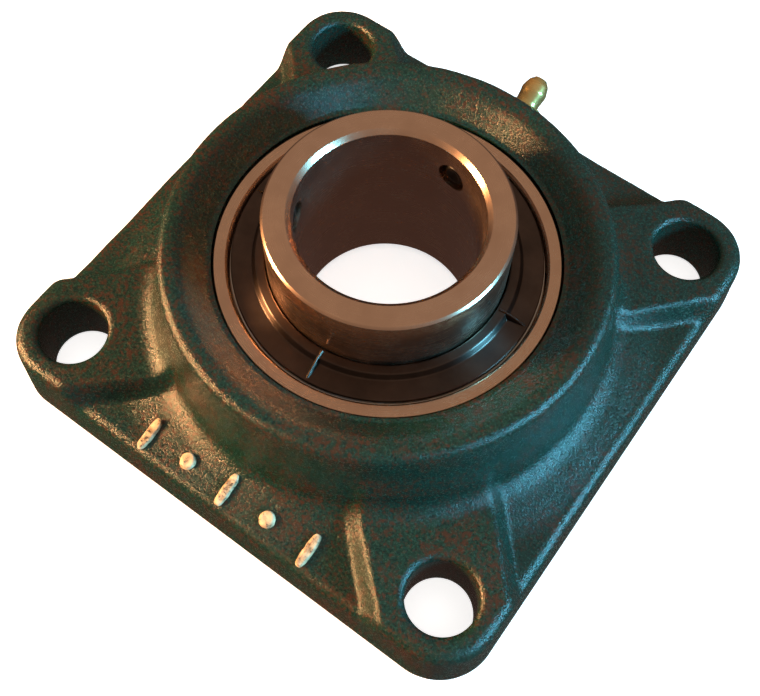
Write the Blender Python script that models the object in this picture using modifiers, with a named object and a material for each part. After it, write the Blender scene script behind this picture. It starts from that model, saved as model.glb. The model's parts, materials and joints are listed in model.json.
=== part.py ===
"""Square four-bolt flange housing with a self-aligning ball bearing insert.

The origin is the middle of the mounting face. +Z comes out of the bearing's front, and the flange's
sides are parallel to X and Y.
"""

import math

import bmesh
import bpy
from mathutils import Matrix, Vector

MM = 0.001

# Ball bearing insert, from the bore outwards
BORE_DIAMETER = 36.5125 * MM
BORE_CHAMFER = 1.0 * MM
INNER_RACE_WALL = 2.64 * MM
INNER_SHOULDER = 3.0 * MM
INNER_RING_REAR = 17.5 * MM
INNER_RING_FRONT = 25.4 * MM
BALL_DIAMETER = 11.112 * MM
BALL_COUNT = 9
OUTER_RACE_WALL = 3.39 * MM
OUTER_SHOULDER = 2.4 * MM
SEAL_STEP = 1.4 * MM
RING_CHAMFER = 0.5 * MM
RUNNING_GAP = 0.3 * MM

# Cage
CAGE_THICKNESS = 0.8 * MM
CAGE_TO_INNER_RING = 0.65 * MM
RIVET_DIAMETER = 1.5 * MM
RIVET_HEAD_DIAMETER = 2.6 * MM
RIVET_HEAD_HEIGHT = 0.5 * MM

# Seals and flingers
CAGE_TO_SEAL = 0.5 * MM
SEAL_CORE_THICKNESS = 0.5 * MM
SEAL_RIM_WIDTH = 0.7 * MM
SEAL_LIP_THICKNESS = 0.6 * MM
SEAL_LIP_OVERLAP = 3.0 * MM
FLINGER_THICKNESS = 0.8 * MM
FLINGER_STEP = 1.3 * MM
FLINGER_COLLAR = 1.9 * MM
FLINGER_SLOPE = 0.7 * MM
FLINGER_EDGE_GAP = 0.6 * MM
FLINGER_RECESS = 0.35 * MM

# Set screws
SET_SCREW_DIAMETER = 6.0 * MM
SET_SCREW_FROM_FRONT = 8.0 * MM
SET_SCREW_TIP_RECESS = 0.5 * MM
SET_SCREW_HEAD_RECESS = 0.3 * MM
SET_SCREW_SOCKET = 3.0 * MM
SET_SCREW_SOCKET_DEPTH = 2.4 * MM
SET_SCREW_AZIMUTHS = (83, 203)

# Lubrication
GREASE_GROOVE_WIDTH = 2.2 * MM
GREASE_GROOVE_DEPTH = 0.8 * MM
GREASE_HOLE_DIAMETER = 1.8 * MM
GREASE_HOLE_MARGIN = 0.2 * MM
GREASE_HOLE_AZIMUTHS = (30, 210)
NIPPLE_TILT = 30
NIPPLE_PASSAGE_DIAMETER = 3.0 * MM
NIPPLE_SHANK_DIAMETER = 6.0 * MM
NIPPLE_SHANK_LENGTH = 5.5 * MM
NIPPLE_HEX = 7.0 * MM
NIPPLE_HEX_HEIGHT = 3.6 * MM
NIPPLE_NECK_DIAMETER = 4.6 * MM
NIPPLE_NECK_HEIGHT = 2.3 * MM
NIPPLE_HEAD_DIAMETER = 6.4 * MM
NIPPLE_HEAD_HEIGHT = 4.0 * MM
NIPPLE_MOUTH_DIAMETER = 1.4 * MM
NIPPLE_MOUTH_DEPTH = 0.7 * MM
NIPPLE_BORE_DIAMETER = 2.6 * MM
NIPPLE_FOOT_DIAMETER = 1.4 * MM
NIPPLE_FOOT_DEPTH = 1.0 * MM
CHECK_BALL_DIAMETER = 2.0 * MM
SPRING_WIRE = 0.3 * MM
SPRING_TURNS = 4
SPRING_POINTS_PER_TURN = 10

# Locking pin
PIN_DIAMETER = 3.0 * MM
PIN_DEPTH = 2.0 * MM
PIN_HEIGHT = 1.3 * MM
PIN_AZIMUTH = 270

# Housing
BEARING_CENTRE_HEIGHT = 19 * MM
BOLT_SPACING = 92 * MM
BOLT_HOLE_DIAMETER = 14 * MM
CORNER_MARGIN = 12.5 * MM
CORNER_RADIUS = 12 * MM
FLANGE_HEIGHT = 10.3 * MM
FLANGE_DRAFT = 0.8 * MM
EDGE_ROUNDING = 2.0 * MM
PAD_HEIGHT = 15 * MM
PAD_HALF_WIDTH = 12.7 * MM
PAD_FLARE = 2.4 * MM
BOSS_WALL = 8.7 * MM
BOSS_LIP = 5.0 * MM
BOSS_ROUNDING = 2.4 * MM
BOSS_TAPER = 2.0 * MM
BOSS_FOOT_FILLET = 4.0 * MM
BOSS_SKIRT_RISE = 2.0 * MM
BOSS_SKIRT_TO_EDGE = 1.0 * MM
CREST_WIDTH = 2.9 * MM
INNER_SLOPE = 2.2 * MM
SEAT_MARGIN = 0.5 * MM
REAR_RECESS_MARGIN = 1.8 * MM
REAR_CHAMFER = 1.0 * MM
TILT_LIMIT = 2.5

# Raised foundry marks on the flange: a row of bars and dots
MARK_COUNT = 5
MARK_PITCH = 10 * MM
MARK_WIDTH = 2.0 * MM
MARK_LENGTH = 7.0 * MM
MARK_DOT = 3.2 * MM
MARK_RAISE = 0.9 * MM
MARK_INSET = 5.6 * MM

# Facets
RING_STEPS = 48
DISC_STEPS = 32
SMALL_STEPS = 12
ARC_STEPS = 8
TOO_FAR = 10 * MM

# Sizes that follow from the ones above
BORE_RADIUS = BORE_DIAMETER / 2
BALL_RADIUS = BALL_DIAMETER / 2
RACE_ARC_RADIUS = BALL_RADIUS + RUNNING_GAP
INNER_RACE_RADIUS = BORE_RADIUS + INNER_RACE_WALL
INNER_RING_RADIUS = INNER_RACE_RADIUS + INNER_SHOULDER
PITCH_RADIUS = INNER_RACE_RADIUS + RACE_ARC_RADIUS
OUTER_RACE_RADIUS = PITCH_RADIUS + RACE_ARC_RADIUS
SPHERE_RADIUS = OUTER_RACE_RADIUS + OUTER_RACE_WALL
OUTER_SHOULDER_RADIUS = OUTER_RACE_RADIUS - OUTER_SHOULDER
SEAL_SEAT_RADIUS = OUTER_SHOULDER_RADIUS + SEAL_STEP
CAGE_WIDTH = 2 * (PITCH_RADIUS - INNER_RING_RADIUS - CAGE_TO_INNER_RING)
CAGE_ARC_RADIUS = RACE_ARC_RADIUS + CAGE_THICKNESS / 2
CAGE_HALF_HEIGHT = CAGE_ARC_RADIUS + CAGE_THICKNESS / 2
CAGE_FLAT_OFFSET = (CAGE_THICKNESS + RUNNING_GAP) / 2
SEAL_START = CAGE_HALF_HEIGHT + CAGE_TO_SEAL
SEAL_HEIGHT = SEAL_CORE_THICKNESS + RUNNING_GAP + SEAL_LIP_THICKNESS
FLINGER_START = SEAL_START + SEAL_HEIGHT + RUNNING_GAP
RING_HALF_WIDTH = FLINGER_START + FLINGER_THICKNESS + FLINGER_RECESS
SEAT_RADIUS = SPHERE_RADIUS + RUNNING_GAP
SEAT_HALF_WIDTH = RING_HALF_WIDTH + SEAT_MARGIN
FRONT_HEIGHT = BEARING_CENTRE_HEIGHT + INNER_RING_FRONT
SCREW_HEIGHT = FRONT_HEIGHT - SET_SCREW_FROM_FRONT
GROOVE_OFFSET = SEAL_START - RUNNING_GAP - GREASE_HOLE_MARGIN - GREASE_HOLE_DIAMETER / 2
GROOVE_HEIGHT = BEARING_CENTRE_HEIGHT - GROOVE_OFFSET
BOSS_RADIUS = SEAT_RADIUS + BOSS_WALL
BOSS_HEIGHT = BEARING_CENTRE_HEIGHT + RING_HALF_WIDTH + BOSS_LIP
BOSS_FOOT_RADIUS = BOSS_RADIUS + BOSS_TAPER
FLANGE_HALF = BOLT_SPACING / 2 + CORNER_MARGIN
SKIRT_END_RADIUS = FLANGE_HALF - BOSS_SKIRT_TO_EDGE
FOOT_FILLET = min(BOSS_FOOT_FILLET, (SKIRT_END_RADIUS - BOSS_FOOT_RADIUS) * 0.6)
SKIRT_START_RADIUS = BOSS_FOOT_RADIUS + FOOT_FILLET
CENTRE = Vector((0, 0, BEARING_CENTRE_HEIGHT))
UP = Vector((0, 0, 1))


def clear_scene():
    for obj in list(bpy.data.objects):
        bpy.data.objects.remove(obj)


def new_collection(name):
    collection = bpy.data.collections.new(name)
    bpy.context.scene.collection.children.link(collection)
    return collection


def new_material(name, colour, metallic, roughness):
    material = bpy.data.materials.new(name)
    material.use_nodes = True
    shader = material.node_tree.nodes["Principled BSDF"]
    shader.inputs["Base Color"].default_value = (*colour, 1)
    shader.inputs["Metallic"].default_value = metallic
    shader.inputs["Roughness"].default_value = roughness
    return material


clear_scene()
parts = new_collection("flange_mount_bearing")
cutters = new_collection("cutters")
casting_paint = new_material("casting_paint", (0.012, 0.045, 0.035), 0.0, 0.5)
ring_steel = new_material("ring_steel", (0.55, 0.48, 0.44), 1.0, 0.3)
ball_steel = new_material("ball_steel", (0.7, 0.7, 0.7), 1.0, 0.1)
sheet_steel = new_material("sheet_steel", (0.45, 0.45, 0.46), 1.0, 0.4)
black_steel = new_material("black_steel", (0.03, 0.028, 0.028), 0.8, 0.35)
seal_rubber = new_material("seal_rubber", (0.015, 0.015, 0.016), 0.0, 0.6)
nipple_brass = new_material("nipple_brass", (0.75, 0.55, 0.22), 1.0, 0.28)


# Shape helpers

def arc(centre_r, centre_z, radius, start, end, steps=ARC_STEPS):
    """Profile points (r, z) along an arc, with the angles in degrees from +r towards +z."""
    angles = [math.radians(start + (end - start) * i / steps) for i in range(steps + 1)]
    return [(centre_r + radius * math.cos(a), centre_z + radius * math.sin(a)) for a in angles]


def add_object(name, mesh, collection, material=None):
    obj = bpy.data.objects.new(name, mesh)
    collection.objects.link(obj)
    if material:
        mesh.materials.append(material)
    if collection is cutters:
        obj.hide_render = True
        obj.display_type = "WIRE"
    return obj


def shade_round(mesh, angle=35):
    mesh.shade_smooth()
    mesh.set_sharp_from_angle(angle=math.radians(angle))


def turned(name, profile, steps, collection, material=None, closed=True):
    """A profile of (r, z) points turned round Z, running down its outer side from top to bottom.

    A closed profile makes a ring. An open one starts and ends on the axis.
    """
    mesh = bpy.data.meshes.new(name)
    points = [(r, 0, z) for r, z in profile]
    edges = [(i, i + 1) for i in range(len(points) - 1)]
    if closed:
        edges.append((len(points) - 1, 0))
    mesh.from_pydata(points, edges, [])
    obj = add_object(name, mesh, collection, material)
    screw = obj.modifiers.new("turn", "SCREW")
    screw.axis = "Z"
    screw.steps = steps
    screw.render_steps = steps
    screw.use_merge_vertices = True
    screw.merge_threshold = 0.00001
    return obj


def apply_modifiers(obj):
    """Replaces the object's mesh with its evaluated one, shaded round."""
    graph = bpy.context.evaluated_depsgraph_get()
    mesh = bpy.data.meshes.new_from_object(obj.evaluated_get(graph), depsgraph=graph)
    mesh.name = obj.name
    obj.modifiers.clear()
    obj.data = mesh
    shade_round(mesh)
    return obj


def boolean(obj, other, operation):
    modifier = obj.modifiers.new(other.name, "BOOLEAN")
    modifier.operation = operation
    modifier.solver = "EXACT"
    modifier.object = other
    return obj


def from_bmesh(name, bm, collection, material=None):
    bmesh.ops.recalc_face_normals(bm, faces=bm.faces)
    mesh = bpy.data.meshes.new(name)
    bm.to_mesh(mesh)
    bm.free()
    return add_object(name, mesh, collection, material)


def box(name, low, high, collection, material=None):
    low, high = Vector(low), Vector(high)
    bm = bmesh.new()
    bmesh.ops.create_cube(bm, size=1)
    bmesh.ops.scale(bm, vec=high - low, verts=bm.verts)
    bmesh.ops.translate(bm, vec=(high + low) / 2, verts=bm.verts)
    return from_bmesh(name, bm, collection, material)


def rod(name, radius, start, end, steps, collection, material=None, end_radius=None):
    """A cylinder, or a cone if end_radius is given, between two points."""
    start, end = Vector(start), Vector(end)
    bm = bmesh.new()
    bmesh.ops.create_cone(
        bm,
        cap_ends=True,
        segments=steps,
        radius1=radius,
        radius2=radius if end_radius is None else end_radius,
        depth=(end - start).length,
    )
    turn = UP.rotation_difference(end - start).to_matrix().to_4x4()
    bmesh.ops.transform(bm, matrix=Matrix.Translation((start + end) / 2) @ turn, verts=bm.verts)
    return from_bmesh(name, bm, collection, material)


def around(azimuth, radius, height=0.0):
    angle = math.radians(azimuth)
    return Vector((radius * math.cos(angle), radius * math.sin(angle), height))


def mirrored_front(profile):
    """The rear copy of a profile given as (r, offset from the bearing's centre)."""
    return [(r, -offset) for r, offset in reversed(profile)]


def at_centre(profile):
    return [(r, BEARING_CENTRE_HEIGHT + offset) for r, offset in profile]


# Housing

def rounded_square(name, height, collection, material=None):
    """The flange's outline, drawn in a little towards the top, with its top edge rounded."""
    bm = bmesh.new()
    bmesh.ops.create_cube(bm, size=1)
    bmesh.ops.scale(bm, vec=(2 * FLANGE_HALF, 2 * FLANGE_HALF, height), verts=bm.verts)
    bmesh.ops.translate(bm, vec=(0, 0, height / 2), verts=bm.verts)
    corners = [e for e in bm.edges if abs(e.verts[0].co.z - e.verts[1].co.z) > height / 2]
    bmesh.ops.bevel(
        bm, geom=corners, offset=CORNER_RADIUS, segments=6, profile=0.5, affect="EDGES"
    )
    draft = 1 - FLANGE_DRAFT / FLANGE_HALF
    top_verts = [v for v in bm.verts if v.co.z > height / 2]
    bmesh.ops.scale(bm, vec=(draft, draft, 1), verts=top_verts)
    rim = [e for e in bm.edges if all(v in top_verts for v in e.verts)]
    bmesh.ops.bevel(bm, geom=rim, offset=EDGE_ROUNDING, segments=2, profile=0.5, affect="EDGES")
    return from_bmesh(name, bm, collection, material)


def side_pocket(index):
    """The lower ground between two corner pads: a wedge whose sides run along the diagonals."""
    reach = 2 * FLANGE_HALF
    floor_half = reach - PAD_FLARE * math.sqrt(2)
    bm = bmesh.new()
    bmesh.ops.create_cone(
        bm,
        cap_ends=True,
        segments=4,
        radius1=floor_half,
        radius2=reach,
        depth=PAD_HEIGHT - FLANGE_HEIGHT,
    )
    middle = PAD_HALF_WIDTH * math.sqrt(2) + reach
    height = (PAD_HEIGHT + FLANGE_HEIGHT) / 2
    first = bm.verts[:][0].co
    corner_to_axis = Matrix.Rotation(-math.atan2(first.y, first.x), 4, "Z")
    place = Matrix.Rotation(index * math.pi / 2, 4, "Z") @ Matrix.Translation((middle, 0, height))
    bmesh.ops.transform(bm, matrix=place @ corner_to_axis, verts=bm.verts)
    for vert in bm.verts:  # the wedge's top stands clear of the pads' top face
        if vert.co.z > height:
            vert.co.z += EDGE_ROUNDING
    return from_bmesh(f"side_pocket_{index + 1}", bm, cutters)


def boss():
    """The round boss with its taper, the fillet at its foot and the slope out towards the edge."""
    fillet_top = FLANGE_HEIGHT + BOSS_SKIRT_RISE + FOOT_FILLET
    profile = [(0, BOSS_HEIGHT)]
    profile += arc(
        BOSS_RADIUS - BOSS_ROUNDING, BOSS_HEIGHT - BOSS_ROUNDING, BOSS_ROUNDING, 90, 5, 3
    )
    profile += arc(SKIRT_START_RADIUS, fillet_top, FOOT_FILLET, 185, 255, 3)
    profile += [
        (SKIRT_END_RADIUS, FLANGE_HEIGHT),
        (SKIRT_END_RADIUS, FLANGE_HEIGHT / 2),
        (0, FLANGE_HEIGHT / 2),
    ]
    return turned("boss", profile, RING_STEPS, cutters, closed=False)


def seat_cutter():
    """Everything that is open inside the boss: the front mouth, the seat and the rear recess."""
    crest_radius = BOSS_RADIUS - BOSS_ROUNDING - CREST_WIDTH
    mouth_height = BEARING_CENTRE_HEIGHT + SEAT_HALF_WIDTH
    seat_angle = math.degrees(math.asin(SEAT_HALF_WIDTH / SEAT_RADIUS))
    recess_radius = SEAT_RADIUS + REAR_RECESS_MARGIN
    profile = [
        (0, BOSS_HEIGHT + TOO_FAR),
        (crest_radius, BOSS_HEIGHT + TOO_FAR),
        (crest_radius, BOSS_HEIGHT),
        (crest_radius - INNER_SLOPE, mouth_height),
    ]
    profile += arc(0, BEARING_CENTRE_HEIGHT, SEAT_RADIUS, seat_angle, -seat_angle)
    profile += [
        (recess_radius, BEARING_CENTRE_HEIGHT - SEAT_HALF_WIDTH),
        (recess_radius, REAR_CHAMFER),
        (recess_radius + REAR_CHAMFER * 2, -REAR_CHAMFER),
        (0, -REAR_CHAMFER),
    ]
    return turned("seat_cutter", profile, RING_STEPS, cutters, closed=False)


def loading_slots():
    """The two slots, open to the rear, through which the insert goes in sideways."""
    bm = bmesh.new()
    height = BEARING_CENTRE_HEIGHT + TOO_FAR
    bmesh.ops.create_cone(
        bm,
        cap_ends=True,
        segments=RING_STEPS,
        radius1=SEAT_RADIUS + RUNNING_GAP,
        radius2=SEAT_RADIUS + RUNNING_GAP,
        depth=height,
    )
    middle_height = BEARING_CENTRE_HEIGHT - height / 2
    bmesh.ops.translate(bm, vec=(0, 0, middle_height), verts=bm.verts)
    half = RING_HALF_WIDTH + RUNNING_GAP
    for side in (1, -1):
        cut = bmesh.ops.bisect_plane(
            bm,
            geom=bm.verts[:] + bm.edges[:] + bm.faces[:],
            plane_co=(0, side * half, 0),
            plane_no=(0, side, 0),
            clear_outer=True,
        )
        edges = [g for g in cut["geom_cut"] if isinstance(g, bmesh.types.BMEdge)]
        bmesh.ops.contextual_create(bm, geom=edges)
    return from_bmesh("loading_slots", bm, cutters)


def pin_slot():
    """The slot along the axis, open to the rear, in which the locking pin tilts up and down."""
    swing = SEAT_RADIUS * math.sin(math.radians(TILT_LIMIT))
    half = PIN_DIAMETER / 2 + RUNNING_GAP
    depth = SPHERE_RADIUS + PIN_HEIGHT + 2 * RUNNING_GAP
    top = BEARING_CENTRE_HEIGHT + half + swing
    slot = box("pin_slot", (SPHERE_RADIUS / 2, -half, -TOO_FAR), (depth, half, top), cutters)
    slot.data.transform(Matrix.Rotation(math.radians(PIN_AZIMUTH), 4, "Z"))
    return slot


def marks():
    """A row of raised bars and dots, which stand a little above the slope at the boss's foot."""
    made = []
    for index in range(MARK_COUNT):
        x = (index - (MARK_COUNT - 1) / 2) * MARK_PITCH
        y = MARK_INSET - FLANGE_HALF
        skirt_width = SKIRT_END_RADIUS - SKIRT_START_RADIUS
        down_slope = (math.hypot(x, y) - SKIRT_START_RADIUS) / skirt_width
        slope_height = BOSS_SKIRT_RISE * max(0, 1 - down_slope)
        top = FLANGE_HEIGHT + slope_height + MARK_RAISE
        name = f"mark_{index + 1}"
        if index % 2:
            low, high = (x, y, FLANGE_HEIGHT / 2), (x, y, top)
            mark = rod(name, MARK_DOT / 2, low, high, SMALL_STEPS, cutters)
        else:
            low = (x - MARK_WIDTH / 2, y - MARK_LENGTH / 2, FLANGE_HEIGHT / 2)
            high = (x + MARK_WIDTH / 2, y + MARK_LENGTH / 2, top)
            mark = box(name, low, high, cutters)
        made.append(mark)
    return made


def nipple_axis():
    """Where the nipple's axis meets the seat, and its direction out of the boss."""
    tilt = math.radians(NIPPLE_TILT)
    return Vector((0, SEAT_RADIUS, GROOVE_HEIGHT)), Vector((0, math.cos(tilt), math.sin(tilt)))


def nipple_seat():
    """The point where the nipple's hexagon sits, just outside the boss's tapered wall."""
    start, direction = nipple_axis()
    wall = BOSS_FOOT_RADIUS - start.y + NIPPLE_HEX / 2 * math.tan(math.radians(NIPPLE_TILT))
    return start + direction * (wall / direction.y)


def make_housing():
    housing = rounded_square("housing", PAD_HEIGHT, parts, casting_paint)
    for index in range(4):
        boolean(housing, side_pocket(index), "DIFFERENCE")
    boolean(housing, boss(), "UNION")
    for mark in marks():
        boolean(housing, mark, "UNION")
    boolean(housing, seat_cutter(), "DIFFERENCE")
    boolean(housing, loading_slots(), "DIFFERENCE")
    boolean(housing, pin_slot(), "DIFFERENCE")
    for index, (side_x, side_y) in enumerate(((1, 1), (-1, 1), (-1, -1), (1, -1))):
        x, y = side_x * BOLT_SPACING / 2, side_y * BOLT_SPACING / 2
        hole = rod(
            f"bolt_hole_{index + 1}",
            BOLT_HOLE_DIAMETER / 2,
            (x, y, -TOO_FAR),
            (x, y, PAD_HEIGHT + TOO_FAR),
            24,
            cutters,
        )
        boolean(housing, hole, "DIFFERENCE")
    start, direction = nipple_axis()
    seat = nipple_seat()
    passage = rod(
        "grease_passage",
        NIPPLE_PASSAGE_DIAMETER / 2,
        start - direction * BOSS_WALL / 2,
        seat,
        SMALL_STEPS,
        cutters,
    )
    socket = rod(
        "nipple_socket",
        NIPPLE_SHANK_DIAMETER / 2 + RUNNING_GAP,
        seat - direction * (NIPPLE_SHANK_LENGTH + RUNNING_GAP),
        seat + direction * TOO_FAR,
        2 * SMALL_STEPS,
        cutters,
    )
    boolean(housing, passage, "DIFFERENCE")
    boolean(housing, socket, "DIFFERENCE")
    return apply_modifiers(housing)


# Rings

def make_outer_ring():
    sphere_angle = math.degrees(math.asin((RING_HALF_WIDTH - RING_CHAMFER) / SPHERE_RADIUS))
    groove_top = math.degrees(
        math.asin((GROOVE_OFFSET - GREASE_GROOVE_WIDTH / 2) / SPHERE_RADIUS)
    )
    groove_bottom = math.degrees(
        math.asin((GROOVE_OFFSET + GREASE_GROOVE_WIDTH / 2) / SPHERE_RADIUS)
    )
    face_radius = math.sqrt(SPHERE_RADIUS**2 - RING_HALF_WIDTH**2) - RING_CHAMFER / 2
    outside = arc(0, 0, SPHERE_RADIUS, sphere_angle, -groove_top, ARC_STEPS - 2)
    groove_radius = SPHERE_RADIUS - GREASE_GROOVE_DEPTH - RING_CHAMFER
    outside += [
        (groove_radius, -GROOVE_OFFSET + GREASE_GROOVE_WIDTH / 2),
        (groove_radius, -GROOVE_OFFSET - GREASE_GROOVE_WIDTH / 2),
    ]
    outside += arc(0, 0, SPHERE_RADIUS, -groove_bottom, -sphere_angle, 2)
    race_angle = math.degrees(math.acos((OUTER_SHOULDER_RADIUS - PITCH_RADIUS) / RACE_ARC_RADIUS))
    seal_side = [
        (SEAL_SEAT_RADIUS + RING_CHAMFER, RING_HALF_WIDTH),
        (SEAL_SEAT_RADIUS, RING_HALF_WIDTH - RING_CHAMFER),
        (SEAL_SEAT_RADIUS, SEAL_START - RUNNING_GAP),
        (OUTER_SHOULDER_RADIUS, SEAL_START - RUNNING_GAP),
    ]
    race = arc(PITCH_RADIUS, 0, RACE_ARC_RADIUS, -race_angle, race_angle)
    rear_side = [(r, -offset) for r, offset in seal_side]
    profile = [(face_radius, RING_HALF_WIDTH)] + outside + [(face_radius, -RING_HALF_WIDTH)]
    profile += rear_side + race + seal_side[::-1]
    ring = turned("outer_ring", at_centre(profile), RING_STEPS, parts, ring_steel)
    for index, azimuth in enumerate(GREASE_HOLE_AZIMUTHS):
        hole = rod(
            f"lubrication_hole_{index + 1}",
            GREASE_HOLE_DIAMETER / 2,
            around(azimuth, OUTER_SHOULDER_RADIUS - SEAL_STEP, GROOVE_HEIGHT),
            around(azimuth, SPHERE_RADIUS + SEAL_STEP, GROOVE_HEIGHT),
            SMALL_STEPS,
            cutters,
        )
        boolean(ring, hole, "DIFFERENCE")
    pin_hole = rod(
        "pin_hole",
        PIN_DIAMETER / 2 + RUNNING_GAP,
        around(PIN_AZIMUTH, SPHERE_RADIUS - PIN_DEPTH - RUNNING_GAP, BEARING_CENTRE_HEIGHT),
        around(PIN_AZIMUTH, SPHERE_RADIUS + SEAL_STEP, BEARING_CENTRE_HEIGHT),
        2 * SMALL_STEPS,
        cutters,
    )
    boolean(ring, pin_hole, "DIFFERENCE")
    return apply_modifiers(ring)


def make_inner_ring():
    race_angle = math.degrees(math.acos((PITCH_RADIUS - INNER_RING_RADIUS) / RACE_ARC_RADIUS))
    profile = [
        (INNER_RING_RADIUS - RING_CHAMFER, INNER_RING_FRONT),
        (INNER_RING_RADIUS, INNER_RING_FRONT - RING_CHAMFER),
    ]
    profile += arc(PITCH_RADIUS, 0, RACE_ARC_RADIUS, 180 - race_angle, 180 + race_angle)
    profile += [
        (INNER_RING_RADIUS, RING_CHAMFER - INNER_RING_REAR),
        (INNER_RING_RADIUS - RING_CHAMFER, -INNER_RING_REAR),
        (BORE_RADIUS + BORE_CHAMFER, -INNER_RING_REAR),
        (BORE_RADIUS, BORE_CHAMFER - INNER_RING_REAR),
        (BORE_RADIUS, INNER_RING_FRONT - BORE_CHAMFER),
        (BORE_RADIUS + BORE_CHAMFER, INNER_RING_FRONT),
    ]
    ring = turned("inner_ring", at_centre(profile), RING_STEPS, parts, ring_steel)
    for index, azimuth in enumerate(SET_SCREW_AZIMUTHS):
        hole = rod(
            f"set_screw_hole_{index + 1}",
            SET_SCREW_DIAMETER / 2 + RUNNING_GAP,
            around(azimuth, BORE_RADIUS - TOO_FAR / 2, SCREW_HEIGHT),
            around(azimuth, INNER_RING_RADIUS + TOO_FAR, SCREW_HEIGHT),
            2 * SMALL_STEPS,
            cutters,
        )
        boolean(ring, hole, "DIFFERENCE")
    return apply_modifiers(ring)


def make_locking_pin():
    """A plain pin whose origin is the bearing's centre, on the axis it tilts about."""
    pin = rod(
        "locking_pin",
        PIN_DIAMETER / 2,
        around(PIN_AZIMUTH, SPHERE_RADIUS - PIN_DEPTH),
        around(PIN_AZIMUTH, SPHERE_RADIUS + PIN_HEIGHT),
        2 * SMALL_STEPS,
        parts,
        ring_steel,
    )
    pin.location = CENTRE
    shade_round(pin.data)
    return pin


# Balls and cage

def make_balls():
    bm = bmesh.new()
    bmesh.ops.create_uvsphere(bm, u_segments=12, v_segments=8, radius=BALL_RADIUS)
    mesh = bpy.data.meshes.new("ball")
    bm.to_mesh(mesh)
    bm.free()
    mesh.shade_smooth()
    mesh.materials.append(ball_steel)
    for index in range(BALL_COUNT):
        ball = add_object(f"ball_{index + 1}", mesh, parts)
        ball.location = around(index * 360 / BALL_COUNT, PITCH_RADIUS, BEARING_CENTRE_HEIGHT)


def pocket_stations():
    """Angles across one ball from its middle, each with the ribbon's height above the balls."""
    shallowest = math.asin(CAGE_FLAT_OFFSET / CAGE_ARC_RADIUS)
    stations = []
    for step in range(ARC_STEPS + 1):
        turn = shallowest + (math.pi - 2 * shallowest) * step / ARC_STEPS
        along = -math.cos(turn) * CAGE_ARC_RADIUS
        stations.append((along / PITCH_RADIUS, math.sin(turn) * CAGE_ARC_RADIUS))
    return stations


def make_cage_half(name, side):
    """A ribbon that follows the balls round, thickened on both sides, with a hole for each rivet."""
    stations = pocket_stations()
    pitch = 2 * math.pi / BALL_COUNT
    count = len(stations) * BALL_COUNT
    bm = bmesh.new()
    grid = bmesh.ops.create_grid(bm, x_segments=count, y_segments=1, size=1)
    verts = sorted(grid["verts"], key=lambda v: (round(v.co.x, 6), v.co.y))
    for number, vert in enumerate(verts):
        column, row = divmod(number, 2)
        ball, station = divmod(column, len(stations))
        along, height = stations[station]
        angle = ball * pitch + along
        radius = PITCH_RADIUS + (row - 0.5) * CAGE_WIDTH
        vert.co = (radius * math.cos(angle), radius * math.sin(angle), side * height)
    bmesh.ops.remove_doubles(bm, verts=bm.verts, dist=0.00001)
    half = from_bmesh(name, bm, parts, sheet_steel)
    half.location = CENTRE
    solidify = half.modifiers.new("thickness", "SOLIDIFY")
    solidify.thickness = CAGE_THICKNESS
    solidify.offset = 0
    solidify.use_even_offset = True
    for index in range(BALL_COUNT):
        middle = around((index + 0.5) * 360 / BALL_COUNT, PITCH_RADIUS, BEARING_CENTRE_HEIGHT)
        hole = rod(
            f"{name}_rivet_hole_{index + 1}",
            RIVET_DIAMETER / 2 + RUNNING_GAP,
            middle - UP * BALL_RADIUS,
            middle + UP * BALL_RADIUS,
            8,
            cutters,
        )
        boolean(half, hole, "DIFFERENCE")
    return apply_modifiers(half)


def make_rivets():
    grip = CAGE_FLAT_OFFSET + CAGE_THICKNESS / 2 + RUNNING_GAP
    head = RIVET_HEAD_DIAMETER / 2
    rivet = turned(
        "cage_rivet_1",
        [
            (0, grip + RIVET_HEAD_HEIGHT),
            (head * 0.6, grip + RIVET_HEAD_HEIGHT),
            (head, grip),
            (RIVET_DIAMETER / 2, grip),
            (RIVET_DIAMETER / 2, -grip),
            (head, -grip),
            (head * 0.6, -grip - RIVET_HEAD_HEIGHT),
            (0, -grip - RIVET_HEAD_HEIGHT),
        ],
        8,
        parts,
        sheet_steel,
        closed=False,
    )
    apply_modifiers(rivet)
    for index in range(BALL_COUNT):
        copy = rivet if index == 0 else add_object(f"cage_rivet_{index + 1}", rivet.data, parts)
        copy.location = around(
            (index + 0.5) * 360 / BALL_COUNT, PITCH_RADIUS, BEARING_CENTRE_HEIGHT
        )


# Seals and flingers

def seal_core_profile():
    rim = SEAL_SEAT_RADIUS - RUNNING_GAP
    inner = INNER_RING_RADIUS + 2 * RUNNING_GAP + SEAL_LIP_THICKNESS
    back = SEAL_START + SEAL_CORE_THICKNESS
    return [
        (rim, SEAL_START + SEAL_HEIGHT),
        (rim, SEAL_START),
        (inner, SEAL_START),
        (inner, back),
        (rim - SEAL_RIM_WIDTH, back),
        (rim - SEAL_RIM_WIDTH, SEAL_START + SEAL_HEIGHT),
    ]


def seal_lip_profile():
    """Rubber laid over the steel disc's face, with a thin lip down to the inner ring."""
    lip = INNER_RING_RADIUS + RUNNING_GAP
    back = SEAL_START + SEAL_CORE_THICKNESS + RUNNING_GAP
    return [
        (lip + SEAL_LIP_THICKNESS + SEAL_LIP_OVERLAP, back + SEAL_LIP_THICKNESS),
        (lip + SEAL_LIP_THICKNESS + SEAL_LIP_OVERLAP, back),
        (lip + SEAL_LIP_THICKNESS, back),
        (lip + SEAL_LIP_THICKNESS / 2, SEAL_START),
        (lip, SEAL_START),
        (lip, back + SEAL_LIP_THICKNESS),
    ]


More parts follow.
